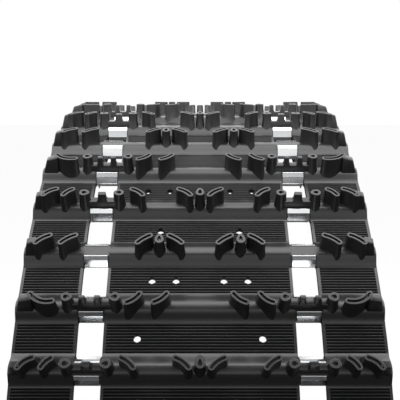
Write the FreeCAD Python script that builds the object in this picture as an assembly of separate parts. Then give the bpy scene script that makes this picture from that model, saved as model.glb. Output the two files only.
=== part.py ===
import FreeCAD, Part
import math
import os

# Endless rubber track for a snow vehicle, standing as a round loop on its lowest lugs.
# X runs across the belt, the loop lies in the YZ plane, +Z is up and millimetres are used.
# The origin is on the ground, under the middle of the loop.

# ---- driving dimensions: loop ----
PITCH = 64.0                 # bar to bar, along the cord line
SECTION_PITCHES = 4          # bars in one section of the loop
SECTION_COUNT = 12           # sections in the loop
TRACK_WIDTH = 381.0
BELT_THICKNESS = 5.5
FLEX_LIMIT = 18.0            # most that two neighbouring sections bend about their hinge, degrees
FLEX_GAP = 0.6               # clearance between two sections at the hinge line

# ---- driving dimensions: windows and bars ----
WINDOW_CENTRE = 112.1        # middle of a window column from the belt's centre line
WINDOW_WIDTH = 26.8
BAR_LENGTH = 29.4            # along the track, at the belt
BAR_HEIGHT = 8.0             # above the belt's outer face
BAR_CREST = 15.0             # length of the bar's flat top, along the track
BAR_INNER_HEIGHT = 3.5       # below the belt's inner face
BAR_INNER_LENGTH = 24.0

# ---- driving dimensions: outer lugs ----
LUG_HEIGHT = 26.0            # above the belt's outer face
BLADE_TIP = 5.6              # blade thickness at its tip
BLADE_ROOT = 12.0            # blade thickness at its root
BLADE_SWEEP = 6.0            # how far a blade reaches each way along the track at its tip
ROOT_FLARE = 1.6             # blade reach at the root over its reach at the tip
POST_TIP_RADIUS = 4.9
POST_ROOT_RADIUS = 8.0
EDGE_BLOCK_WIDTH = 14.0
EDGE_BLOCK_LENGTH = 12.0
EDGE_BLOCK_DROP = 3.0        # how far its top lies under the lug tips
FIN_TIP = 5.0                # fin thickness at its tip
FIN_ROOT = 12.0
FIN_DROP = 1.0               # how far the fin's top lies under the lug tips
NOTCH_WIDTH = 7.5
NOTCH_DEPTH = 10.0

# ---- driving dimensions: inside of the loop ----
DRIVE_LUG_HEIGHT = 20.0
DRIVE_LUG_WIDTH = 20.0
DRIVE_LUG_ROOT = 26.0
DRIVE_LUG_TIP = 12.0
DRIVE_LUG_INSET = 4.0        # from the window's edge

# ---- driving dimensions: holes and inserts ----
STUD_HOLE_RADIUS = 3.75
ROD_DIAMETER = 8.0
ROD_INSET = 6.0              # rubber over each rod end
CORD_THICKNESS = 1.0
CORD_MARGIN = 4.0            # rubber beside each cord band
ROD_TO_CORD = 0.6            # rubber between a rod and the cords

# ---- driving dimensions: guide clips ----
CLIP_SIDE_CLEARANCE = 0.9    # between a clip's edge and the window's
CLIP_GAUGE = 1.2
CLIP_CREST = 14.0            # length of the clip's flat top, along the track
CLIP_BEVEL = 3.4
CLIP_RISE = 0.7              # clip top over the bar's crest
CLIP_WAIST = 3.1             # how far its longest line lies below the belt's outer face
CLIP_FOOT = 22.0             # length of its flat bottom
CLIP_SLOT_CLEARANCE = 0.5    # between the fin's root and the clip's edges
EAR_HEIGHT = 9.0
EAR_ROOT = 16.0
EAR_TIP = 7.0

# ---- worked out ----
ROWS = SECTION_PITCHES * SECTION_COUNT
PITCH_ANGLE = 360.0 / ROWS
SECTION_ANGLE = 360.0 / SECTION_COUNT
CORD_RADIUS = PITCH * ROWS / (2.0 * math.pi)
OUTER_RADIUS = CORD_RADIUS + BELT_THICKNESS / 2.0
INNER_RADIUS = CORD_RADIUS - BELT_THICKNESS / 2.0
HALF_WIDTH = TRACK_WIDTH / 2.0
WINDOW_NEAR = WINDOW_CENTRE - WINDOW_WIDTH / 2.0
WINDOW_FAR = WINDOW_CENTRE + WINDOW_WIDTH / 2.0
OUTER_BAND = HALF_WIDTH - WINDOW_FAR
HALF_BAR = BAR_LENGTH / 2.0
EDGE_DIP = OUTER_RADIUS - math.sqrt(OUTER_RADIUS ** 2 - HALF_BAR ** 2)
CLIP_WIDTH = WINDOW_WIDTH - 2 * CLIP_SIDE_CLEARANCE
CLIP_TOP = BAR_HEIGHT + CLIP_RISE
CLIP_BOTTOM = -(BELT_THICKNESS + BAR_INNER_HEIGHT)
ROD_LEVEL = -BELT_THICKNESS / 2.0 + CORD_THICKNESS / 2.0 + ROD_TO_CORD + ROD_DIAMETER / 2.0
ROOT_LEVEL = 1.0             # level at which lugs start, inside the bar

# The three tread rows that follow one another round the loop. Places across the belt are shares of
# the outer band (0 at the window, 1 at the edge) or of the centre band (0 at the middle, 1 at the
# window). Each place is paired with a reach along the track: -1 is the near side, +1 the far side.
OUTER_BLADES = {
    "A": [[(0.80, -1.0), (0.69, 0.45), (0.535, 1.0)], [(0.45, -1.0), (0.37, 0.35), (0.255, 1.0)]],
    "B": [[(0.73, 1.0), (0.53, -0.75), (0.33, -0.45)]],
    "C": [[(0.777, -1.0), (0.66, 0.3), (0.50, 1.0)], [(0.37, -1.0), (0.24, 0.3), (0.08, 1.0)]],
}
CENTRE_BLADES = {
    "A": [[(0.806, 1.0), (0.715, 0.4), (0.645, -1.0)], [(0.27, 1.0), (0.175, 0.4), (0.10, -1.0)]],
    "B": [[(0.778, -1.0), (0.68, -0.4), (0.613, 1.0)], [(0.50, -1.0), (0.405, -0.4), (0.332, 1.0)]],
    "C": [[(0.689, -1.0), (0.60, 0.35), (0.517, 1.0)], [(0.36, 1.0), (0.275, 0.35), (0.182, -1.0)]],
}
CENTRE_POSTS = {"A": [0.0], "B": [], "C": [0.441]}
# Distance of the posts from the window's edges: (outboard, inboard).
WINDOW_POSTS = {"A": (5.9, 7.6), "B": (10.5, 12.7), "C": None}
# Middles of the fin's notches, measured from the middle of the window column.
FIN_NOTCHES = {"A": [-9.5, 8.5], "B": [-16.0, 0.0, 15.5], "C": []}
# Stud holes of the gap after each row, as shares of the centre band.
STUD_HOLES = [[0.65], [0.519, 0.259], [0.448], [0.621, 0.361]]
FIRST_ROW_TYPE = 2           # place in "ABC" of the row just above the front of the loop


def place(shape, angle):
    """Turn a shape made at the top of the loop to an angle counted from the front."""
    moved = shape.copy()
    moved.rotate(FreeCAD.Vector(0, 0, 0), FreeCAD.Vector(1, 0, 0), 90.0 - angle)
    return moved


def point(across, along, level):
    """A point at the top of the loop; level counts from the belt's outer face."""
    return FreeCAD.Vector(across, along, OUTER_RADIUS + level)


def prism(outline, x_low, x_high):
    """A bar across the belt from its outline in (along, level)."""
    points = [point(x_low, along, level) for along, level in outline]
    wire = Part.makePolygon(points + points[:1])
    return Part.Face(wire).extrude(FreeCAD.Vector(x_high - x_low, 0, 0))


def mirrored(shape):
    return shape.mirror(FreeCAD.Vector(0, 0, 0), FreeCAD.Vector(1, 0, 0))


def outer_place(share):
    return WINDOW_FAR + share * OUTER_BAND


def centre_place(share):
    return share * WINDOW_NEAR


def curve_points(ends, count=4):
    """Even points on the quadratic curve through three points."""
    (x0, y0), (x1, y1), (x2, y2) = ends
    points = []
    for step in range(count):
        t = step / (count - 1.0)
        a = (1 - t) * (1 - 2 * t)
        b = 4 * t * (1 - t)
        c = t * (2 * t - 1)
        points.append((a * x0 + b * x1 + c * x2, a * y0 + b * y1 + c * y2))
    return points


def blade_wire(line, thickness, level):
    """The closed outline of a blade, with a point beyond each end."""
    left, right = [], []
    last = len(line) - 1
    for index, (x, y) in enumerate(line):
        before = line[max(index - 1, 0)]
        after = line[min(index + 1, last)]
        dx, dy = after[0] - before[0], after[1] - before[1]
        length = math.hypot(dx, dy)
        nx, ny = -dy / length * thickness / 2.0, dx / length * thickness / 2.0
        left.append(point(x + nx, y + ny, level))
        right.append(point(x - nx, y - ny, level))
    ends = []
    for first, second in ((line[1], line[0]), (line[-2], line[-1])):
        dx, dy = second[0] - first[0], second[1] - first[1]
        length = math.hypot(dx, dy)
        reach = thickness / 2.0 / length
        ends.append(point(second[0] + dx * reach, second[1] + dy * reach, level))
    points = [ends[0]] + left + [ends[1]] + right[::-1]
    return Part.makePolygon(points + points[:1])


def blade(ends):
    """A curved blade, wide at its root and thin at its tip."""
    tip = curve_points([(x, y * BLADE_SWEEP) for x, y in ends])
    root = [(x, y * ROOT_FLARE) for x, y in tip]
    wires = [blade_wire(root, BLADE_ROOT, ROOT_LEVEL), blade_wire(tip, BLADE_TIP, LUG_HEIGHT)]
    return Part.makeLoft(wires, True, True)


def post(across):
    base = point(across, 0, ROOT_LEVEL)
    return Part.makeCone(POST_ROOT_RADIUS, POST_TIP_RADIUS, LUG_HEIGHT - ROOT_LEVEL, base)


def edge_block():
    """The block at the belt's edge, with a sloping outer top corner."""
    top = LUG_HEIGHT - EDGE_BLOCK_DROP
    outline = [
        (HALF_WIDTH - EDGE_BLOCK_WIDTH, ROOT_LEVEL),
        (HALF_WIDTH - EDGE_BLOCK_WIDTH, top + EDGE_BLOCK_DROP / 2.0),
        (HALF_WIDTH - 0.5 * EDGE_BLOCK_WIDTH, top),
        (HALF_WIDTH - 0.2 * EDGE_BLOCK_WIDTH, top - 0.25 * EDGE_BLOCK_WIDTH),
        (HALF_WIDTH, ROOT_LEVEL + 0.4 * (top - ROOT_LEVEL)),
        (HALF_WIDTH, ROOT_LEVEL),
    ]
    points = [point(x, -EDGE_BLOCK_LENGTH / 2.0, level) for x, level in outline]
    face = Part.Face(Part.makePolygon(points + points[:1]))
    return face.extrude(FreeCAD.Vector(0, EDGE_BLOCK_LENGTH, 0))


def fin_outline():
    top = LUG_HEIGHT - FIN_DROP
    return [(-FIN_ROOT / 2, ROD_LEVEL), (-FIN_TIP / 2, top), (FIN_TIP / 2, top), (FIN_ROOT / 2, ROD_LEVEL)]


def fin(row_type):
    """The notched plate that crosses a window bar between its two posts."""
    outboard, inboard = WINDOW_POSTS[row_type]
    plate = prism(fin_outline(), WINDOW_NEAR - inboard, WINDOW_FAR + outboard)
    for middle in FIN_NOTCHES[row_type]:
        corner = point(WINDOW_CENTRE + middle - NOTCH_WIDTH / 2.0, -FIN_ROOT, LUG_HEIGHT - NOTCH_DEPTH)
        plate = plate.cut(Part.makeBox(NOTCH_WIDTH, 2 * FIN_ROOT, 2 * NOTCH_DEPTH, corner))
    return plate


def bar_outline():
    inner = BAR_INNER_LENGTH / 2.0
    crest = BAR_CREST / 2.0
    knee = (crest + HALF_BAR) / 2.0
    half = [
        (crest, BAR_HEIGHT),
        (knee, BAR_HEIGHT / 2.0),
        (HALF_BAR, -EDGE_DIP),
        (HALF_BAR, -BELT_THICKNESS / 2.0),
        (HALF_BAR, -BELT_THICKNESS),
        (inner, CLIP_BOTTOM),
    ]
    return half + [(-along, level) for along, level in reversed(half)]


def clip_outline():
    """The eight-sided section of the clip's outer face, clockwise."""
    shoulder = CLIP_CREST / 2.0 + CLIP_BEVEL
    half = [
        (CLIP_CREST / 2.0, CLIP_TOP),
        (shoulder, CLIP_TOP - CLIP_BEVEL),
        (HALF_BAR, -CLIP_WAIST),
        (CLIP_FOOT / 2.0, CLIP_BOTTOM),
    ]
    return half + [(-along, level) for along, level in reversed(half)]


def drawn_in(outline, distance):
    """A clockwise outline with every side moved inwards by the same distance."""
    corners = []
    for index, corner in enumerate(outline):
        inwards = []
        for start, end in ((outline[index - 1], corner), (corner, outline[(index + 1) % len(outline)])):
            length = math.dist(start, end)
            inwards.append(((end[1] - start[1]) / length, (start[0] - end[0]) / length))
        (ax, ay), (bx, by) = inwards
        stretch = distance / (1.0 + ax * bx + ay * by)
        corners.append((corner[0] + (ax + bx) * stretch, corner[1] + (ay + by) * stretch))
    return corners


def window_core():
    """The part of a bar that crosses a window, inside its clip."""
    return prism(drawn_in(clip_outline(), CLIP_GAUGE), WINDOW_NEAR - ROOT_LEVEL, WINDOW_FAR + ROOT_LEVEL)


def crest_pad():
    """The crest of a window bar with no fin, between the clip's jaws."""
    half = FIN_ROOT / 2.0
    base = CLIP_TOP - 2 * CLIP_GAUGE
    outline = [(-half, base), (-half, BAR_HEIGHT), (half, BAR_HEIGHT), (half, base)]
    return prism(outline, WINDOW_NEAR - ROOT_LEVEL, WINDOW_FAR + ROOT_LEVEL)


def drive_lug(across):
    bottom = CLIP_BOTTOM + BAR_INNER_HEIGHT
    outline = [
        (-DRIVE_LUG_ROOT / 2, bottom + 1.0),
        (DRIVE_LUG_ROOT / 2, bottom + 1.0),
        (DRIVE_LUG_TIP / 2, bottom - DRIVE_LUG_HEIGHT),
        (-DRIVE_LUG_TIP / 2, bottom - DRIVE_LUG_HEIGHT),
    ]
    return prism(outline, across - DRIVE_LUG_WIDTH / 2.0, across + DRIVE_LUG_WIDTH / 2.0)


def rubber_row(row_type):
    """One bar with everything moulded on it, made at the top of the loop."""
    side = [prism(bar_outline(), WINDOW_FAR, HALF_WIDTH)]
    side.append(window_core())
    side.append(edge_block())
    side.append(drive_lug(WINDOW_NEAR - DRIVE_LUG_INSET - DRIVE_LUG_WIDTH / 2.0))
    side.append(drive_lug(WINDOW_FAR + DRIVE_LUG_INSET + DRIVE_LUG_WIDTH / 2.0))
    for ends in OUTER_BLADES[row_type]:
        side.append(blade([(outer_place(share), reach) for share, reach in ends]))
    for ends in CENTRE_BLADES[row_type]:
        side.append(blade([(centre_place(share), reach) for share, reach in ends]))
    if WINDOW_POSTS[row_type]:
        outboard, inboard = WINDOW_POSTS[row_type]
        side.append(post(WINDOW_FAR + outboard))
        side.append(post(WINDOW_NEAR - inboard))
        side.append(fin(row_type))
    else:
        side.append(crest_pad())
    middle = [prism(bar_outline(), -WINDOW_NEAR, WINDOW_NEAR)]
    for share in CENTRE_POSTS[row_type]:
        if share > 0:
            side.append(post(centre_place(share)))
        else:
            middle.append(post(0.0))
    pieces = middle + side + [mirrored(shape) for shape in side]
    bar = pieces[0].multiFuse(pieces[1:]).removeSplitter()
    return bar.cut(bands(INNER_RADIUS, OUTER_RADIUS, 0.0) + [rod()])


def clip():
    """One guide clip: a bent strip round the window bar, open on top, with two ears towards the inside."""
    low = WINDOW_CENTRE - CLIP_WIDTH / 2.0
    high = WINDOW_CENTRE + CLIP_WIDTH / 2.0
    hollow = prism(drawn_in(clip_outline(), CLIP_GAUGE), low - 1, high + 1)
    strip = prism(clip_outline(), low, high).cut(hollow)
    half_mouth = FIN_ROOT / 2.0 + CLIP_SLOT_CLEARANCE
    mouth = Part.makeBox(CLIP_WIDTH + 2, 2 * half_mouth, 3 * CLIP_GAUGE)
    mouth.translate(point(low - 1, -half_mouth, CLIP_TOP - 2 * CLIP_GAUGE))
    strip = strip.cut(mouth)
    ear = [
        (-EAR_ROOT / 2, CLIP_BOTTOM + CLIP_GAUGE / 2),
        (EAR_ROOT / 2, CLIP_BOTTOM + CLIP_GAUGE / 2),
        (EAR_TIP / 2, CLIP_BOTTOM - EAR_HEIGHT),
        (-EAR_TIP / 2, CLIP_BOTTOM - EAR_HEIGHT),
    ]
    ears = [prism(ear, low, low + CLIP_GAUGE), prism(ear, high - CLIP_GAUGE, high)]
    return strip.multiFuse(ears).removeSplitter()


def rod():
    start = point(-HALF_WIDTH + ROD_INSET, 0, ROD_LEVEL)
    return Part.makeCylinder(ROD_DIAMETER / 2.0, TRACK_WIDTH - 2 * ROD_INSET, start, FreeCAD.Vector(1, 0, 0))


def sector(inner, outer, half_angle, x_low, x_high):
    """A curved band centred on the top of the loop, from one side to the other."""
    def on_circle(radius, angle):
        turn = math.radians(angle)
        return FreeCAD.Vector(x_low, radius * math.sin(turn), radius * math.cos(turn))

    top = Part.Arc(on_circle(outer, -half_angle), on_circle(outer, 0), on_circle(outer, half_angle))
    bottom = Part.Arc(on_circle(inner, half_angle), on_circle(inner, 0), on_circle(inner, -half_angle))
    right = Part.LineSegment(on_circle(outer, half_angle), on_circle(inner, half_angle))
    left = Part.LineSegment(on_circle(inner, -half_angle), on_circle(outer, -half_angle))
    wire = Part.Wire([edge.toShape() for edge in (top, right, bottom, left)])
    return Part.Face(wire).extrude(FreeCAD.Vector(x_high - x_low, 0, 0))


def bands(inner, outer, margin):
    """The three bands of the belt, each drawn in from its edges by margin."""
    half_angle = SECTION_ANGLE / 2.0
    limits = [
        (-HALF_WIDTH + margin, -WINDOW_FAR - margin),
        (-WINDOW_NEAR + margin, WINDOW_NEAR - margin),
        (WINDOW_FAR + margin, HALF_WIDTH - margin),
    ]
    return [sector(inner, outer, half_angle, low, high) for low, high in limits]


def hinge_relief():
    """What is cut away between two sections: a waist at the hinge line that opens both ways."""
    waist = FLEX_GAP / 2.0
    depth = BELT_THICKNESS / 2.0 + 1.0
    mouth = waist + depth * math.tan(math.radians(FLEX_LIMIT / 2.0 + 1.0))
    level = -BELT_THICKNESS / 2.0
    outline = [
        (-waist, level),
        (-mouth, level + depth),
        (mouth, level + depth),
        (waist, level),
        (mouth, level - depth),
        (-mouth, level - depth),
    ]
    return prism(outline, -HALF_WIDTH - 1, HALF_WIDTH + 1)


def stud_holes(gap_index):
    depth = 4 * BELT_THICKNESS
    holes = []
    for share in STUD_HOLES[gap_index % len(STUD_HOLES)]:
        for side in (-1, 1):
            base = point(side * centre_place(share), 0, -depth / 2.0)
            holes.append(Part.makeCylinder(STUD_HOLE_RADIUS, depth, base))
    return holes


def row_angle(index):
    return (index + 0.5) * PITCH_ANGLE


def row_type(index):
    return "ABC"[(index + FIRST_ROW_TYPE) % 3]


def section_cuts(centre, first_row):
    """Stud holes of the section's gaps, and the relief at both its ends."""
    cuts = []
    for step in range(SECTION_PITCHES + 1):
        angle = centre - SECTION_ANGLE / 2.0 + step * PITCH_ANGLE
        for hole in stud_holes(first_row + step - 1):
            cuts.append(place(hole, angle))
        if step in (0, SECTION_PITCHES):
            cuts.append(place(hinge_relief(), angle))
    return cuts


def section(centre, rows, clips):
    """The five nodes of one section whose middle is at an angle counted from the front."""
    first_row = int(round((centre - SECTION_ANGLE / 2.0) / PITCH_ANGLE))
    indexes = range(first_row, first_row + SECTION_PITCHES)
    cuts = section_cuts(centre, first_row)
    half_cord = CORD_THICKNESS / 2.0
    flat_cords = bands(CORD_RADIUS - half_cord, CORD_RADIUS + half_cord, CORD_MARGIN)
    cords = [place(band, centre).cut(cuts) for band in flat_cords]
    rods = [place(rod(), row_angle(index)) for index in indexes]
    flat_bands = bands(INNER_RADIUS, OUTER_RADIUS, 0.0)
    belt = [place(band, centre).cut(cuts + rods + cords) for band in flat_bands]
    bars = [place(rows[row_type(index)], row_angle(index)) for index in indexes]
    pairs = [place(clips, row_angle(index)) for index in indexes]
    return {
        "belt_bands": Part.makeCompound(belt),
        "tread_bars": Part.makeCompound(bars),
        "cross_rods": Part.makeCompound(rods),
        "tension_cords": Part.makeCompound(cords),
        "guide_clips": Part.makeCompound([solid for pair in pairs for solid in pair.Solids]),
    }


def main():
    os.makedirs("parts", exist_ok=True)
    rows = {kind: rubber_row(kind) for kind in "ABC"}
    clips = Part.makeCompound([clip(), mirrored(clip())])
    sections = []
    for number in range(SECTION_COUNT):
        sections.append(section(270.0 + number * SECTION_ANGLE, rows, clips))
    lift = -sections[0]["tread_bars"].BoundBox.ZMin
    for number, nodes in enumerate(sections, 1):
        for name, shape in nodes.items():
            shape.translate(FreeCAD.Vector(0, 0, lift))
            shape.exportStep("parts/%s_%02d.step" % (name, number))
    print("loop centre height %.4f, cord radius %.4f" % (lift, CORD_RADIUS))


main()
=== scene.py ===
import math
import bmesh
import bpy
from mathutils import Matrix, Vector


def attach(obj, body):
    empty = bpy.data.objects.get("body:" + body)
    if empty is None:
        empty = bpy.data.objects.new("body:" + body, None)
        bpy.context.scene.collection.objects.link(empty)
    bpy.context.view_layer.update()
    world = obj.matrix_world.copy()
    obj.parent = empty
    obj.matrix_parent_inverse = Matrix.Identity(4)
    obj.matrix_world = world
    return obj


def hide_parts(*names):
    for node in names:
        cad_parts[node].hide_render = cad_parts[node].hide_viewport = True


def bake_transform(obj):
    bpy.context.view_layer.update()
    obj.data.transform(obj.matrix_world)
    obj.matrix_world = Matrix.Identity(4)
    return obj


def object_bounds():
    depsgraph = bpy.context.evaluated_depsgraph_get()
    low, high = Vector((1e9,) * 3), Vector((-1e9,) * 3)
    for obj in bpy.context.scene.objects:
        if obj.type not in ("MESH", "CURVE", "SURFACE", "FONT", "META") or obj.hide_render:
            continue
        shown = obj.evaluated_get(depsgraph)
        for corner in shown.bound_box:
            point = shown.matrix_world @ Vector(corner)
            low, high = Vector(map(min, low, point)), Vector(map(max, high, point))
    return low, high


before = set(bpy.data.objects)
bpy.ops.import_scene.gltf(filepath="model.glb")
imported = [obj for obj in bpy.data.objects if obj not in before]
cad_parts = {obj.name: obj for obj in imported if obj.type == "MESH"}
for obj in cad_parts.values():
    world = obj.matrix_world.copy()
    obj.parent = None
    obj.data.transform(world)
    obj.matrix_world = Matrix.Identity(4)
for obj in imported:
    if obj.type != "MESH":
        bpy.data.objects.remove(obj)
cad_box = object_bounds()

mm = 0.001

# ---------------------------------------------------------------- viewpoint
# The loop stands on its lugs. It is seen from just above its top, in front of it, so that the belt
# runs up and away from the eye.
loop_height = (cad_box[0][2] + cad_box[1][2]) / 2
eye_distance = 1065.6 * mm
eye_rise = 572.8 * mm
look_down = 10.87
bpy.ops.object.camera_add(location=(0, -eye_distance, loop_height + eye_rise))
camera = bpy.context.object
camera.rotation_euler = (math.radians(90 - look_down), 0, 0)
camera.data.lens = 63.2
camera.data.sensor_width = 36
camera.data.clip_end = 50
bpy.context.scene.camera = camera
bpy.context.scene.view_settings.view_transform = "Standard"

# ---------------------------------------------------------------- studio
# A white floor and a white surround, as in a product booth. One large soft lamp hangs low over and
# behind the loop and a brighter strip over its front. The booth's wall is bright round the horizon
# and dim above it, and reads plain white to the eye.
lamp_width = 2.6
lamp_height = 1.55
bright_wall_top = 22
dim_wall_foot = 34


def lamp(name, along, depth, power):
    """A wide soft lamp over the loop, which the camera doesn't see."""
    bpy.ops.object.light_add(type="AREA", location=(0, along, lamp_height))
    light = bpy.context.object
    light.name = name
    light.data.shape = "RECTANGLE"
    light.data.size = lamp_width
    light.data.size_y = depth
    light.data.energy = power
    light.visible_camera = False


lamp("overhead_lamp", 1.07, 2.65, 56)
lamp("front_top_lamp", -0.465, 0.43, 17)

world = bpy.data.worlds.new("booth")
bpy.context.scene.world = world
world.use_nodes = True
nodes = world.node_tree.nodes
links = world.node_tree.links
nodes.clear()
seen = nodes.new("ShaderNodeBackground")
seen.inputs["Color"].default_value = (1, 1, 1, 1)
around = nodes.new("ShaderNodeBackground")
around.inputs["Color"].default_value = (1, 1, 1, 1)
heading = nodes.new("ShaderNodeTexCoord")
parts = nodes.new("ShaderNodeSeparateXYZ")
wall = nodes.new("ShaderNodeMapRange")
wall.interpolation_type = "SMOOTHSTEP"
wall.inputs["From Min"].default_value = math.sin(math.radians(dim_wall_foot))
wall.inputs["From Max"].default_value = math.sin(math.radians(bright_wall_top))
wall.inputs["To Min"].default_value = 0.22
wall.inputs["To Max"].default_value = 1.3
rays = nodes.new("ShaderNodeLightPath")
choice = nodes.new("ShaderNodeMixShader")
out = nodes.new("ShaderNodeOutputWorld")
links.new(heading.outputs["Generated"], parts.inputs["Vector"])
links.new(parts.outputs["Z"], wall.inputs["Value"])
links.new(wall.outputs["Result"], around.inputs["Strength"])
links.new(rays.outputs["Is Camera Ray"], choice.inputs["Fac"])
links.new(around.outputs["Background"], choice.inputs[1])
links.new(seen.outputs["Background"], choice.inputs[2])
links.new(choice.outputs["Shader"], out.inputs["Surface"])


def paper(name, glow):
    """Paper that glows nearly white to the eye, with a soft shadow, and is a dim grey to other light."""
    material = bpy.data.materials.new(name)
    material.use_nodes = True
    tree = material.node_tree
    tree.nodes.clear()
    path = tree.nodes.new("ShaderNodeLightPath")
    shade = tree.nodes.new("ShaderNodeMapRange")
    shade.inputs["To Min"].default_value = 0.10
    shade.inputs["To Max"].default_value = 0.80
    matt = tree.nodes.new("ShaderNodeBsdfDiffuse")
    light = tree.nodes.new("ShaderNodeEmission")
    share = tree.nodes.new("ShaderNodeMath")
    share.operation = "MULTIPLY"
    share.inputs[1].default_value = glow
    mix = tree.nodes.new("ShaderNodeMixShader")
    end = tree.nodes.new("ShaderNodeOutputMaterial")
    tree.links.new(path.outputs["Is Camera Ray"], shade.inputs["Value"])
    tree.links.new(path.outputs["Is Camera Ray"], share.inputs[0])
    tree.links.new(shade.outputs["Result"], matt.inputs["Color"])
    tree.links.new(share.outputs[0], mix.inputs["Fac"])
    tree.links.new(matt.outputs["BSDF"], mix.inputs[1])
    tree.links.new(light.outputs["Emission"], mix.inputs[2])
    tree.links.new(mix.outputs["Shader"], end.inputs["Surface"])
    return material


bpy.ops.mesh.primitive_plane_add(size=24, location=(0, 0, -0.5 * mm))
floor = bpy.context.object
floor.name = "floor"
floor.data.materials.append(paper("floor_paper", 0.95))

# ---------------------------------------------------------------- loop
# The belt is one endless loop of 48 pitches. Everything is made lying at the top of the loop, and
# is then carried round it.
pitch = 64 * mm
pitch_count = 48
section_pitches = 4
section_count = pitch_count // section_pitches
first_row_of_all = 34
pitch_angle = 360 / pitch_count
section_angle = pitch_angle * section_pitches
cord_radius = pitch * pitch_count / (2 * math.pi)
belt_thickness = 5.5 * mm
outer_radius = cord_radius + belt_thickness / 2
half_width = (cad_box[1][0] - cad_box[0][0]) / 2
window_middle = 112.1 * mm
window_width = 26.8 * mm
window_near = window_middle - window_width / 2
window_far = window_middle + window_width / 2
outer_band = half_width - window_far


def carry_round(piece, angle):
    """Carry a piece from the top of the loop to an angle counted from the front."""
    turn = Matrix.Rotation(math.radians(90 - angle), 4, "X")
    lift = Matrix.Translation((0, 0, loop_height))
    piece.data.transform(lift @ turn)
    piece.data.update()


def section_body(row):
    """The body that carries a row, or the gap after it; rows are counted from the front."""
    number = (row - first_row_of_all) % pitch_count // section_pitches + 1
    return "section_%02d" % number


def alone(piece):
    """Select one piece, and nothing else."""
    bpy.ops.object.select_all(action="DESELECT")
    piece.select_set(True)
    bpy.context.view_layer.objects.active = piece


def joined(name, pieces):
    """Several meshes as one piece."""
    alone(pieces[0])
    for piece in pieces[1:]:
        piece.select_set(True)
    if len(pieces) > 1:
        bpy.ops.object.join()
    pieces[0].name = name
    return pieces[0]


def copy_of(piece, name):
    """A copy with a mesh of its own."""
    twin = piece.copy()
    twin.data = piece.data.copy()
    twin.name = name
    bpy.context.scene.collection.objects.link(twin)
    return twin


def section_rows(name, number, label, piece_of):
    """Copies of piece_of(row) carried to the rows of one section, as one mesh."""
    first = (first_row_of_all + (number - 1) * section_pitches) % pitch_count
    copies = []
    for row in range(first, first + section_pitches):
        twin = copy_of(piece_of(row), label % (row % pitch_count))
        carry_round(twin, (row + 0.5) * pitch_angle)
        copies.append(twin)
    return joined(name, copies)


def both_sides(piece):
    """The piece and its mirror image across the belt, as one mesh."""
    alone(piece)
    twin = copy_of(piece, piece.name + "_twin")
    twin.data.transform(Matrix.Scale(-1, 4, (1, 0, 0)))
    twin.data.flip_normals()
    return joined(piece.name, [piece, twin])


def select_faces(piece, test):
    """In edit mode, select the faces whose middle and normal pass the test."""
    mesh = bmesh.from_edit_mesh(piece.data)
    for face in mesh.faces:
        face.select = test(face.calc_center_median(), face.normal)
    mesh.select_flush_mode()
    bmesh.update_edit_mesh(piece.data)


def select_edges(piece, test):
    """In edit mode, select the edges whose two ends both pass the test."""
    bpy.ops.mesh.select_mode(type="EDGE")
    mesh = bmesh.from_edit_mesh(piece.data)
    for edge in mesh.edges:
        edge.select = test(edge.verts[0].co, edge.verts[1].co)
    mesh.select_flush_mode()
    bmesh.update_edit_mesh(piece.data)


def edit(piece):
    """Enter edit mode with all faces selected."""
    alone(piece)
    bpy.ops.object.mode_set(mode="EDIT")
    bpy.ops.mesh.select_mode(type="FACE")
    bpy.ops.mesh.select_all(action="SELECT")


def leave_edit():
    """Turn all faces outwards and go back to object mode."""
    bpy.ops.mesh.select_all(action="SELECT")
    bpy.ops.mesh.normals_make_consistent(inside=False)
    bpy.ops.object.mode_set(mode="OBJECT")


def outline_face(name, points):
    """A flat face with the given corners, ready to be extruded."""
    bpy.ops.object.select_all(action="DESELECT")
    bpy.ops.mesh.primitive_circle_add(vertices=len(points), fill_type="NGON")
    piece = bpy.context.object
    piece.name = name
    for vertex, corner in zip(piece.data.vertices, points):
        vertex.co = corner
    return piece


def swept(name, section, low, high):
    """A bar across the belt, from its section in (along, level)."""
    piece = outline_face(name, [(low, along, outer_radius + level) for along, level in section])
    edit(piece)
    bpy.ops.mesh.extrude_region_move(TRANSFORM_OT_translate={"value": (high - low, 0, 0)})
    leave_edit()
    return piece


# ---------------------------------------------------------------- card
# A curved sheet of white paper stands inside the front and top of the loop, so that the windows and
# stud holes read white from outside. It shows on its outward face only. It is in three pieces, which
# go with the three sections of the belt outside them.
card_radius = 452 * mm
card_overhang = 3 * mm


def card_paper():
    """White on its outward face to the eye, and clear from behind and to all other light."""
    material = bpy.data.materials.new("card_paper")
    material.use_nodes = True
    tree = material.node_tree
    tree.nodes.clear()
    path = tree.nodes.new("ShaderNodeLightPath")
    side = tree.nodes.new("ShaderNodeNewGeometry")
    shown = tree.nodes.new("ShaderNodeMath")
    shown.operation = "GREATER_THAN"
    light = tree.nodes.new("ShaderNodeEmission")
    clear = tree.nodes.new("ShaderNodeBsdfTransparent")
    mix = tree.nodes.new("ShaderNodeMixShader")
    end = tree.nodes.new("ShaderNodeOutputMaterial")
    tree.links.new(path.outputs["Is Camera Ray"], shown.inputs[0])
    tree.links.new(side.outputs["Backfacing"], shown.inputs[1])
    tree.links.new(shown.outputs[0], mix.inputs["Fac"])
    tree.links.new(clear.outputs["BSDF"], mix.inputs[1])
    tree.links.new(light.outputs["Emission"], mix.inputs[2])
    tree.links.new(mix.outputs["Shader"], end.inputs["Surface"])
    return material


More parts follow.
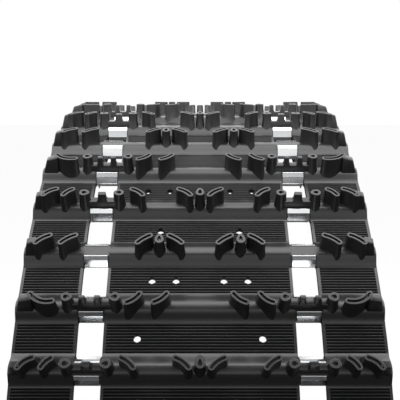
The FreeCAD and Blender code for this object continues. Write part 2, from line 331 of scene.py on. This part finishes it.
white_card = card_paper()
for number in (5, 6, 7):
    bpy.ops.object.select_all(action="DESELECT")
    bpy.ops.mesh.primitive_grid_add(x_subdivisions=1, y_subdivisions=14, size=2)
    card = bpy.context.object
    card.name = "card_%02d" % number
    for vertex in card.data.vertices:
        turn = math.radians(section_angle * (number - 4) + section_angle / 2 * vertex.co.y)
        across = vertex.co.x * (window_far + card_overhang)
        vertex.co = (across, -card_radius * math.cos(turn), loop_height + card_radius * math.sin(turn))
    card.data.materials.append(white_card)
    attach(card, "section_%02d" % number)

# ---------------------------------------------------------------- rubber
# Carbon-black rubber, pressed in a steel mould: a satin skin with a very fine grain. On the crests of the
# belt's ribs and on the rims of the lug tips it is a little rougher, and a little greyer as a painted
# sheen.


def grain_group():
    """Fine moulded grain: its normal, slow patches for the colour and a fine speckle for the shine."""
    group = bpy.data.node_groups.new("moulded_grain", "ShaderNodeTree")
    sockets = group.interface
    for name, kind, way in (
        ("Grain size", "NodeSocketFloat", "INPUT"),
        ("Depth", "NodeSocketFloat", "INPUT"),
        ("Normal", "NodeSocketVector", "OUTPUT"),
        ("Patch", "NodeSocketFloat", "OUTPUT"),
        ("Speckle", "NodeSocketFloat", "OUTPUT"),
    ):
        sockets.new_socket(name=name, in_out=way, socket_type=kind)
    start = group.nodes.new("NodeGroupInput")
    end = group.nodes.new("NodeGroupOutput")
    where = group.nodes.new("ShaderNodeTexCoord")
    fine = group.nodes.new("ShaderNodeTexNoise")
    fine.inputs["Detail"].default_value = 3
    slow = group.nodes.new("ShaderNodeTexNoise")
    slow.inputs["Scale"].default_value = 26
    slow.inputs["Detail"].default_value = 4
    bump = group.nodes.new("ShaderNodeBump")
    bump.inputs["Distance"].default_value = 0.0002
    group.links.new(where.outputs["Object"], fine.inputs["Vector"])
    group.links.new(where.outputs["Object"], slow.inputs["Vector"])
    group.links.new(start.outputs["Grain size"], fine.inputs["Scale"])
    group.links.new(start.outputs["Depth"], bump.inputs["Strength"])
    group.links.new(fine.outputs["Fac"], bump.inputs["Height"])
    group.links.new(bump.outputs["Normal"], end.inputs["Normal"])
    group.links.new(slow.outputs["Fac"], end.inputs["Patch"])
    group.links.new(fine.outputs["Fac"], end.inputs["Speckle"])
    return group


moulded_grain = grain_group()


def finish(name, dark, light, shine, grain, depth, metal=0.0):
    """A principled finish whose colour and roughness drift a little over the surface."""
    material = bpy.data.materials.new(name)
    material.use_nodes = True
    tree = material.node_tree
    shader = tree.nodes["Principled BSDF"]
    shader.inputs["Metallic"].default_value = metal
    surface = tree.nodes.new("ShaderNodeGroup")
    surface.node_tree = moulded_grain
    surface.inputs["Grain size"].default_value = grain
    surface.inputs["Depth"].default_value = depth
    colour = tree.nodes.new("ShaderNodeMix")
    colour.data_type = "RGBA"
    colour.inputs["A"].default_value = (*dark, 1)
    colour.inputs["B"].default_value = (*light, 1)
    rough = tree.nodes.new("ShaderNodeMapRange")
    rough.inputs["From Min"].default_value = 0.3
    rough.inputs["From Max"].default_value = 0.7
    rough.inputs["To Min"].default_value = shine[0]
    rough.inputs["To Max"].default_value = shine[1]
    tree.links.new(surface.outputs["Patch"], colour.inputs["Factor"])
    tree.links.new(surface.outputs["Speckle"], rough.inputs["Value"])
    tree.links.new(colour.outputs["Result"], shader.inputs["Base Color"])
    tree.links.new(rough.outputs["Result"], shader.inputs["Roughness"])
    tree.links.new(surface.outputs["Normal"], shader.inputs["Normal"])
    return material


rubber = finish("rubber", (0.008, 0.008, 0.009), (0.012, 0.012, 0.013), (0.28, 0.38), 1400, 0.3)
# Painted sheen: greyer than the rubber, and rougher, for the rib crests and the rims of the lug tips.
rubber_painted_sheen = finish("rubber_painted_sheen", (0.024, 0.024, 0.025), (0.042, 0.042, 0.044), (0.40, 0.55), 1800, 0.4)

# ---------------------------------------------------------------- belt panels
# Between two bars the belt is a thin panel in three bands, with fine ribs across its outer face
# and a plain rim at each edge. Stud holes go right through the centre band.
bar_length = 29.4 * mm
open_gap = pitch - bar_length
panel_tuck = 2.5 * mm
rib_count = 11
rib_height = 2.2 * mm
rib_foot = 0.44
rim_width = 3.0 * mm
rim_slope = 0.4 * mm
stud_radius = 3.75 * mm
stud_shares = ((0.65,), (0.519, 0.259), (0.448,), (0.621, 0.361))


def panel_levels():
    """Places along the panel and the level of its outer face there: ribs with narrow crests.

    The foot of a rib is the share of a step, on each side, over which it rises."""
    step = open_gap / rib_count
    places = [(-open_gap / 2 - panel_tuck, -rib_height)]
    for index in range(rib_count):
        start = -open_gap / 2 + index * step
        places.append((start, -rib_height))
        places.append((start + rib_foot * step, 0))
        places.append((start + (1 - rib_foot) * step, 0))
    places.append((open_gap / 2, -rib_height))
    places.append((open_gap / 2 + panel_tuck, -rib_height))
    return places


def band(low, high):
    """One band of a panel: a ribbed sheet, drawn down and then flattened to the belt's inner face."""
    levels = panel_levels()
    across = [low, low + rim_width, low + rim_width + rim_slope]
    across += [high - rim_width - rim_slope, high - rim_width, high]
    bpy.ops.object.select_all(action="DESELECT")
    bpy.ops.mesh.primitive_grid_add(x_subdivisions=len(across) - 1, y_subdivisions=len(levels) - 1)
    piece = bpy.context.object
    for index, vertex in enumerate(piece.data.vertices):
        column = index % len(across)
        along, level = levels[index // len(across)]
        plain = column in (0, 1, len(across) - 2, len(across) - 1)
        vertex.co = (across[column], along, 0 if plain else level)
    edit(piece)
    bpy.ops.mesh.extrude_region_move(TRANSFORM_OT_translate={"value": (0, 0, -4 * belt_thickness)})
    bpy.ops.transform.resize(value=(1, 1, 0), center_override=(0, 0, 0))
    bpy.ops.transform.translate(value=(0, 0, -belt_thickness))
    leave_edit()
    return piece


def cut_holes(piece, places):
    """Cut a stud hole through a flat panel at each place across it."""
    for place in places:
        bpy.ops.object.select_all(action="DESELECT")
        bpy.ops.mesh.primitive_cylinder_add(
            vertices=32, radius=stud_radius, depth=20 * mm, location=(place, 0, 0))
        cutter = bpy.context.object
        alone(piece)
        cut = piece.modifiers.new("hole", "BOOLEAN")
        cut.operation = "DIFFERENCE"
        cut.solver = "EXACT"
        cut.object = cutter
        bpy.ops.object.modifier_apply(modifier="hole")
        bpy.data.objects.remove(cutter)


def bend_to_loop(piece):
    """Lay a flat panel on the loop's curve, at the top."""
    for vertex in piece.data.vertices:
        across, along, level = vertex.co
        turn = along / outer_radius
        reach = outer_radius + level
        vertex.co = (across, reach * math.sin(turn), reach * math.cos(turn))
    piece.data.update()


panel_kinds = []
for kind, shares in enumerate(stud_shares):
    centre_band = band(-window_near, window_near)
    cut_holes(centre_band, [side * share * window_near for share in shares for side in (-1, 1)])
    outer_bands = both_sides(band(window_far, half_width))
    panel = joined("panel_kind_%d" % kind, [centre_band, outer_bands])
    panel.data.materials.clear()
    panel.data.materials.append(rubber)
    panel.data.materials.append(rubber_painted_sheen)
    for face in panel.data.polygons:
        across = abs(face.center.x)
        in_centre = across < window_near - rim_width
        in_outer = window_far + rim_width < across < half_width - rim_width
        # The outward crests of the ribs get the rubber with the painted sheen.
        crest = (in_centre or in_outer) and face.center.z > -0.1 * mm and face.normal.z > 0.9
        face.material_index = 1 if crest else 0
    bend_to_loop(panel)
    panel_kinds.append(panel)

bpy.context.view_layer.update()
belt_groups = {}
for row in range(pitch_count):
    panel = copy_of(panel_kinds[row % 4], "belt_gap_%02d" % row)
    angle = (row + 1) * pitch_angle
    here = section_body(row)
    beyond = section_body(row + 1)
    carry_round(panel, angle)
    if here == beyond:
        belt_groups.setdefault(here, []).append(panel)
        continue
    rise, run = math.sin(math.radians(angle)), math.cos(math.radians(angle))
    middle = (-cord_radius * run, cord_radius * rise)
    if {here, beyond} == {"section_07", "section_08"}:
        for body, keep_low in ((here, True), (beyond, False)):
            half = copy_of(panel, panel.name + "_" + body)
            edit(half)
            bpy.ops.mesh.bisect(
                plane_co=(0, middle[0], middle[1] + loop_height),
                plane_no=(0, rise, run),
                use_fill=True, clear_outer=keep_low, clear_inner=not keep_low)
            leave_edit()
            belt_groups.setdefault(body, []).append(half)
        bpy.data.objects.remove(panel)
        continue
    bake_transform(panel)
for body, panels in belt_groups.items():
    belt = joined("belt_" + body, panels)
    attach(belt, body)
    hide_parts("belt_bands_" + body[-2:])
for panel in panel_kinds:
    bpy.data.objects.remove(panel)

# ---------------------------------------------------------------- tread bars
# Each pitch has one bar across the belt, moulded over a glass-fibre rod. Its outer face rises in a
# soft flare to a rounded crest, and its inner face is a low ridge. A steel clip goes round it in
# each window.
bar_height = 8 * mm
bar_crest = 8 * mm
bar_crown = 0.5 * mm
bar_flare = 2.5 * mm
bar_inner_height = 3.5 * mm
bar_inner_length = 24 * mm
clip_gauge = 1.2 * mm
clip_top = bar_height + 0.7 * mm
clip_bottom = -belt_thickness - bar_inner_height
clip_crest = 14 * mm
clip_bevel = 3.4 * mm
clip_waist = 3.1 * mm
clip_foot = 22 * mm
clip_bend = 1.2 * mm


def bar_section():
    """The bar's outline: a flare that rises to a rounded crest, and a chamfered ridge below."""
    half = bar_length / 2
    foot = half + bar_flare
    rise = foot - bar_crest / 2
    outer = [(half, -mm), (foot, -mm)]
    for step in range(17):
        share = step / 16
        swell = (share + share * share * (3 - 2 * share)) / 2
        outer.append((foot - rise * share, bar_height * swell ** 1.15 - 0.3 * mm * (1 - share)))
    crest = []
    for along in (3.4 * mm, 1.2 * mm):
        crest.append((along, bar_height + bar_crown * (1 - (2 * along / bar_crest) ** 2)))
    right = outer + crest
    left = [(-along, level) for along, level in reversed(right)]
    inner = bar_inner_length / 2
    below = [(-half, -belt_thickness)]
    below += [(-inner - 1.2 * mm, clip_bottom + 0.6 * mm), (-inner + 1 * mm, clip_bottom)]
    return right + left + below + [(-along, level) for along, level in reversed(below)]


def rounded(corners, radius):
    """The corners of a closed outline as arcs of four points each."""
    points = []
    for index, (x, y) in enumerate(corners):
        arms = []
        for other in (corners[index - 1], corners[(index + 1) % len(corners)]):
            length = math.hypot(other[0] - x, other[1] - y)
            arms.append(((other[0] - x) / length, (other[1] - y) / length))
        half_turn = (math.pi - math.acos(arms[0][0] * arms[1][0] + arms[0][1] * arms[1][1])) / 2
        reach = radius * math.tan(half_turn)
        for step in range(4):
            share = step / 3
            back = reach * (1 - share) ** 2
            on = reach * share ** 2
            along = x + arms[0][0] * back + arms[1][0] * on
            level = y + arms[0][1] * back + arms[1][1] * on
            points.append((along, level))
    return points


def clip_section(inset):
    """The eight-sided outline of the clip, drawn in by inset, from its far jaw down and round."""
    shoulder = clip_crest / 2 + clip_bevel
    sides = [(clip_crest / 2, clip_top), (shoulder, clip_top - clip_bevel)]
    sides += [(bar_length / 2, -clip_waist), (clip_foot / 2, clip_bottom)]
    sides += [(-along, level) for along, level in reversed(sides)]
    corners = []
    for index, (along, level) in enumerate(sides):
        inwards = []
        onward = sides[(index + 1) % len(sides)]
        for start, end in ((sides[index - 1], sides[index]), (sides[index], onward)):
            length = math.hypot(end[0] - start[0], end[1] - start[1])
            inwards.append(((end[1] - start[1]) / length, (start[0] - end[0]) / length))
        (ax, ay), (bx, by) = inwards
        stretch = inset / (1 + ax * bx + ay * by)
        corners.append((along + (ax + bx) * stretch, level + (ay + by) * stretch))
    return rounded(corners, max(clip_bend - inset, 0.3 * mm))


def round_long_ends(piece, at, size):
    """Round the rim of an end face that lies across the belt at the given place."""
    edit(piece)
    select_edges(piece, lambda a, b: abs(a.x - at) < 0.01 * mm and abs(b.x - at) < 0.01 * mm)
    bpy.ops.mesh.bevel(offset=size, segments=2, profile=0.5, affect="EDGES")
    leave_edit()


def plain_bar():
    """The bar without its lugs: three stretches of full section and a core in each window."""
    middle = swept("middle", bar_section(), -window_near, window_near)
    outer = swept("outer", bar_section(), window_far, half_width)
    round_long_ends(outer, half_width, 1.0 * mm)
    core = swept("core", clip_section(clip_gauge + 0.05 * mm), window_near - mm, window_far + mm)
    pad_half = 6 * mm
    pad_top = pad_half - 0.4 * mm
    pad = [(pad_half, 0), (pad_top, bar_height), (-pad_top, bar_height), (-pad_half, 0)]
    between_jaws = swept("between_jaws", pad, window_near - mm, window_far + mm)
    return [middle, both_sides(outer), both_sides(core), both_sides(between_jaws)]


# ---------------------------------------------------------------- lugs
# The lugs are moulded in one with the bar. Most are curved blades with a slot along the tip; by the
# windows and in the middle stand round posts with a small hole. All flare out towards the bar.
lug_height = 26 * mm
lug_root = 1 * mm
blade_tip = 6.6 * mm
blade_foot = 10.5 * mm
blade_reach = 6 * mm
slot_rim = 1.9 * mm
tip_depth = 3 * mm
tip_round = 0.45 * mm
post_radius = 4.9 * mm
post_foot = 8.2 * mm
hole_rim = 2.2 * mm
lug_lean = 2.5 * mm


def grow(piece, spread):
    """Extrude the piece's base face upwards in steps; spread(share) is its width over the tip's."""
    edit(piece)
    steps = (0, 0.07, 0.16, 0.28, 0.45, 0.7, 1.0)
    for before, after in zip(steps, steps[1:]):
        rise = (after - before) * (lug_height - lug_root)
        bpy.ops.mesh.extrude_region_move(TRANSFORM_OT_translate={"value": (0, 0, rise)})
        ratio = [wide / narrow for wide, narrow in zip(spread(after), spread(before))]
        bpy.ops.transform.resize(value=(ratio[0], ratio[1], 1), center_override=(0, 0, 0))


def hollow_tip(rim, narrowing):
    """Soften the edge of the lug's tip, which is selected, and sink a slot or hole in it."""
    bpy.ops.mesh.inset(thickness=tip_round, depth=0.3 * mm)
    bpy.ops.mesh.inset(thickness=rim)
    bpy.ops.mesh.extrude_region_move(TRANSFORM_OT_translate={"value": (0, 0, -tip_depth)})
    bpy.ops.transform.resize(value=(*narrowing, 1), center_override=(0, 0, 0))
    leave_edit()


def paint_sheen_on_rims(piece):
    """Give the level rims at the lug tips the rougher rubber that is greyer as a painted sheen."""
    top = outer_radius + lug_height - 0.6 * mm
    piece.data.materials.clear()
    piece.data.materials.append(rubber)
    piece.data.materials.append(rubber_painted_sheen)
    for face in piece.data.polygons:
        # Level faces round the tip get the rubber with the painted sheen.
        face.material_index = 1 if face.center.z > top and face.normal.z > 0.35 else 0


def settle(piece, across, along, heading):
    """Turn a lug and move it to its place on the bar, flare its foot along the track and lean it."""
    place = Matrix.Translation((across, along, outer_radius + lug_root))
    piece.data.transform(place @ Matrix.Rotation(heading, 4, "Z"))
    for vertex in piece.data.vertices:
        share = (vertex.co.z - outer_radius - lug_root) / (lug_height - lug_root)
        flare = 1 + 0.25 * max(0, 1 - share) ** 1.6
        vertex.co.y = vertex.co.y * flare + lug_lean * share
    piece.data.update()


def stadium(length, width):
    """Points round a long shape with round ends, evenly spread for bending."""
    points = []
    straight = (length - width) / 2
    for side in (1, -1):
        for step in range(9):
            points.append((side * straight * (1 - step / 4), side * width / 2, 0))
        for step in range(1, 7):
            turn = math.pi * step / 7
            across = -side * (straight + width / 2 * math.sin(turn))
            points.append((across, side * width / 2 * math.cos(turn), 0))
    return points


def blade(start, middle, end):
    """A curved blade through three places (across, along) at its tip."""
    chord = math.hypot(end[0] - start[0], end[1] - start[1])
    heading = math.atan2(end[1] - start[1], end[0] - start[0])
    bow = (end[0] - start[0]) * (middle[1] - start[1]) - (end[1] - start[1]) * (middle[0] - start[0])
    turn = 4 * math.atan(2 * bow / chord / chord)
    root = blade_foot / blade_tip
    length = chord * (1 + turn * turn / 24) + 0.2 * blade_tip
    piece = outline_face("blade", [(x, y * root, z) for x, y, z in stadium(length, blade_tip)])

    def spread(share):
        thin = 1 + (root - 1) * (1 - share) ** 2.2
        long = 1 + 0.10 * (1 - share) ** 2
        return long, thin

    first = spread(0)
    for vertex in piece.data.vertices:
        vertex.co.x *= first[0]
    grow(piece, spread)
    hollow_tip(slot_rim - tip_round, (0.92, 0.8))
    if abs(turn) > 0.02:
        bend = piece.modifiers.new("bend", "SIMPLE_DEFORM")
        bend.deform_method = "BEND"
        bend.deform_axis = "Z"
        bend.angle = -turn
        alone(piece)
        bpy.ops.object.modifier_apply(modifier="bend")
    crown = bow / chord
    settle(piece, (start[0] + end[0]) / 2, 0, heading)
    shift = (start[1] + end[1]) / 2
    for vertex in piece.data.vertices:
        vertex.co.y += shift + crown * math.cos(heading)
        vertex.co.x -= crown * math.sin(heading)
    return piece


def post(across, tail, heading):
    """A round post with a small hole in its tip; tail draws one side out to a point."""
    points = []
    for step in range(24):
        turn = 2 * math.pi * step / 24
        reach = post_radius * (1 + tail * max(0, math.cos(turn)) ** 5)
        points.append((reach * math.cos(turn), reach * math.sin(turn), 0))
    root = post_foot / post_radius
    piece = outline_face("post", [(x * root, y * root, z) for x, y, z in points])

    def spread(share):
        wide = 1 + (root - 1) * (1 - share) ** 2
        return wide, wide

    grow(piece, spread)
    hollow_tip(hole_rim, (1, 1))
    settle(piece, across, 0, heading)
    return piece


def block(name, low, high):
    """A box between two corners."""
    size = [b - a for a, b in zip(low, high)]
    middle = [(a + b) / 2 for a, b in zip(low, high)]
    bpy.ops.object.select_all(action="DESELECT")
    bpy.ops.mesh.primitive_cube_add(size=1, location=middle, scale=size)
    piece = bpy.context.object
    piece.name = name
    bpy.ops.object.transform_apply(location=True, rotation=True, scale=True)
    return piece


def soften(piece, size, segments=2):
    """Round all edges of a piece, as a mould does."""
    alone(piece)
    bevel = piece.modifiers.new("round", "BEVEL")
    bevel.width = size
    bevel.segments = segments
    bevel.limit_method = "ANGLE"
    bevel.angle_limit = math.radians(25)
    bevel.use_clamp_overlap = True
    bpy.ops.object.modifier_apply(modifier="round")
    return piece


def edge_block(inner, length):
    """The tapered block at the belt's edge, with a sloping top."""
    top = outer_radius + lug_height
    low = (inner, -length / 2, outer_radius + lug_root)
    piece = block("edge_block", low, (half_width, length / 2, top))
    edit(piece)
    select_faces(piece, lambda middle, normal: normal.z > 0.9)
    bpy.ops.transform.resize(value=(0.62, 0.52, 1), center_override=(inner, 0, 0))
    bpy.ops.mesh.select_all(action="SELECT")
    bpy.ops.mesh.bisect(plane_co=(inner + 3 * mm, 0, top - 0.3 * mm), plane_no=(0.26, 0, 0.96),
                        use_fill=True, clear_outer=True)
    leave_edit()
    for vertex in piece.data.vertices:
        share = (vertex.co.z - outer_radius) / lug_height
        vertex.co.y += lug_lean * share
    return soften(piece, 2.0 * mm, 3)


fin_foot = 4 * mm
fin_wall = 15.5 * mm
tooth_neck = 2.2 * mm
tooth_rise = 7.3 * mm


def fin(low, high, teeth):
    """The plate across a window bar: a low wall with taller teeth, each (low, high) across."""
    half_root = 5.5 * mm
    piece = block(
        "fin", (low, -half_root, outer_radius + fin_foot), (high, half_root, outer_radius + fin_wall))
    edit(piece)
    select_faces(piece, lambda middle, normal: normal.z > 0.9)
    bpy.ops.transform.resize(value=(1, 0.72, 1), center_override=(0, 0, 0))
    for tooth in teeth:
        for edge in tooth:
            if low < edge < high:
                bpy.ops.mesh.select_all(action="SELECT")
                bpy.ops.mesh.bisect(plane_co=(edge, 0, 0), plane_no=(1, 0, 0))
    for tooth in teeth:
        def on_tooth(middle, normal):
            return normal.z > 0.9 and tooth[0] - 0.01 * mm < middle.x < tooth[1] + 0.01 * mm

        select_faces(piece, on_tooth)
        bpy.ops.mesh.extrude_region_move(TRANSFORM_OT_translate={"value": (0, 0, tooth_neck)})
        centre = (sum(tooth) / 2, 0, 0)
        narrow = 1 - 2 * mm / (tooth[1] - tooth[0])
        bpy.ops.transform.resize(value=(narrow, 0.88, 1), center_override=centre)
        bpy.ops.mesh.extrude_region_move(TRANSFORM_OT_translate={"value": (0, 0, tooth_rise)})
        bpy.ops.transform.resize(value=(0.9, 0.72, 1), center_override=centre)
    leave_edit()
    for vertex in piece.data.vertices:
        vertex.co.y += lug_lean * (vertex.co.z - outer_radius) / lug_height
    return soften(piece, 0.8 * mm, 2)


def drive_lug(across):
    """An inner lug that the drive sprocket pushes on, tapered both ways."""
    root = outer_radius - belt_thickness + mm
    half_across, half_along, depth = 10 * mm, 13 * mm, 21 * mm
    low = (across - half_across, -half_along, root - depth)
    high = (across + half_across, half_along, root)
    piece = block("drive_lug", low, high)
    edit(piece)
    select_faces(piece, lambda middle, normal: normal.z < -0.9)
    bpy.ops.transform.resize(value=(0.8, 0.46, 1), center_override=(across, 0, 0))
    leave_edit()
    return soften(piece, 1.8 * mm, 3)


# Places across the belt are shares of the outer band (0 at the window) or of the centre band (0 in
# the middle); the second value is the reach along the track, from -1, near, to 1, far. The posts'
# places are distances out and in from the window, and the teeth are in mm from the belt's middle.
outer_blades = {
    "A": (((0.80, -1.0), (0.69, 0.45), (0.535, 1.0)), ((0.45, -1.0), (0.37, 0.35), (0.255, 1.0))),
    "B": (((0.73, 1.0), (0.53, -0.75), (0.33, -0.45)),),
    "C": (((0.777, -1.0), (0.66, 0.3), (0.50, 1.0)), ((0.37, -1.0), (0.24, 0.3), (0.08, 1.0))),
}
centre_blades = {
    "A": (((0.806, 1.0), (0.715, 0.4), (0.645, -1.0)), ((0.27, 1.0), (0.175, 0.4), (0.10, -1.0))),
    "B": (((0.778, -1.0), (0.68, -0.4), (0.613, 1.0)), ((0.50, -1.0), (0.405, -0.4), (0.332, 1.0))),
    "C": (((0.689, -1.0), (0.60, 0.35), (0.517, 1.0)), ((0.36, 1.0), (0.275, 0.35), (0.182, -1.0))),
}
edge_blocks = {"A": 0.76, "B": 0.70, "C": 0.75}
window_posts = {"A": (5.9 * mm, 7.6 * mm), "B": (10.5 * mm, 12.7 * mm)}
fin_teeth = {
    "A": ((91.1, 97.0), (105.4, 116.8), (125.0, 131.4)),
    "B": ((86.0, 91.3), (100.3, 108.6), (116.0, 124.4), (130.6, 136.0)),
}


def tread_row(kind):
    """One bar with all its lugs, as one piece at the top of the loop."""
    side = [edge_block(window_far + edge_blocks[kind] * outer_band, 15 * mm)]
    for places in outer_blades[kind]:
        tips = [(window_far + share * outer_band, reach * blade_reach) for share, reach in places]
        side.append(blade(*tips))
    for places in centre_blades[kind]:
        tips = [(share * window_near, reach * blade_reach) for share, reach in places]
        side.append(blade(*tips))
    for across in (window_near - 14 * mm, window_far + 14 * mm):
        side.append(drive_lug(across))
    if kind in window_posts:
        outboard, inboard = window_posts[kind]
        side.append(post(window_far + outboard, 0.35, math.pi))
        side.append(post(window_near - inboard, 0.35, 0))
        teeth = [(low * mm, high * mm) for low, high in fin_teeth[kind]]
        side.append(fin(teeth[0][0], teeth[-1][1], teeth))
    middle = []
    if kind == "A":
        middle.append(post(0, 0.5, math.pi / 2))
    if kind == "C":
        side.append(post(0.441 * window_near, 0.5, math.pi / 2))
    pieces = plain_bar() + middle + [both_sides(piece) for piece in side]
    row = joined("tread_row_" + kind, pieces)
    paint_sheen_on_rims(row)
    alone(row)
    bpy.ops.object.shade_smooth_by_angle(angle=math.radians(32))
    return row


tread_rows = {kind: tread_row(kind) for kind in "ABC"}
for number in range(1, section_count + 1):
    body = "section_%02d" % number
    tread = section_rows(
        "tread_" + body, number, "bar_%02d", lambda row: tread_rows["ABC"[(row + 2) % 3]])
    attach(tread, body)
    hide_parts("tread_bars_" + body[-2:])
for row in tread_rows.values():
    bpy.data.objects.remove(row)

# ---------------------------------------------------------------- guide clips
# A zinc-plated steel strip is pressed round each window bar. Its two jaws grip the bar's crest, and
# two ears on the inside of the loop keep the slide rail in the windows.
clip_width = 25 * mm
clip_low = window_middle - clip_width / 2
clip_high = window_middle + clip_width / 2
ear_height = 9 * mm
ear_root = 8 * mm
ear_tip = 3.5 * mm

zinc = finish("zinc_plate", (0.58, 0.59, 0.60), (0.74, 0.75, 0.76), (0.16, 0.23), 900, 0.03, metal=1.0)


def guide_clip():
    """The two clips of one row: a bent strip with an ear at each side."""
    strip = clip_section(0) + clip_section(clip_gauge)[::-1]
    pieces = [soften(swept("clip_strip", strip, clip_low, clip_high), 0.2 * mm, 1)]
    for edge in (clip_low, clip_high - clip_gauge):
        root = clip_bottom + clip_gauge / 2
        tip = clip_bottom - ear_height
        ear = [(ear_root, root), (ear_tip + 1.2 * mm, tip + 2.2 * mm), (ear_tip - 0.8 * mm, tip)]
        ear += [(-along, level) for along, level in reversed(ear)]
        pieces.append(soften(swept("clip_ear", ear, edge, edge + clip_gauge), 0.3 * mm, 2))
    clip = both_sides(joined("guide_clip", pieces))
    clip.data.materials.clear()
    clip.data.materials.append(zinc)
    alone(clip)
    bpy.ops.object.shade_flat()
    return clip


clip_pair = guide_clip()
for number in range(1, section_count + 1):
    body = "section_%02d" % number
    clips = section_rows("clips_" + body, number, "clips_%02d", lambda row: clip_pair)
    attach(clips, body)
    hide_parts("guide_clips_" + body[-2:])
bpy.data.objects.remove(clip_pair)

# ---------------------------------------------------------------- cords and rods
# Inside the belt run flat bands of rubbered polyester cord, and in each bar lies a pultruded
# glass-fibre rod. Both are as the frame has them, with their own finish.
polyester = finish("polyester_cord", (0.42, 0.40, 0.34), (0.60, 0.57, 0.50), (0.55, 0.80), 2600, 0.9)
fibreglass = finish("fibreglass", (0.46, 0.45, 0.30), (0.62, 0.60, 0.44), (0.25, 0.45), 1500, 0.4)
for name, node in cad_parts.items():
    for start, material in (("tension_cords", polyester), ("cross_rods", fibreglass)):
        if name.startswith(start):
            for slot in node.material_slots:
                slot.material = material
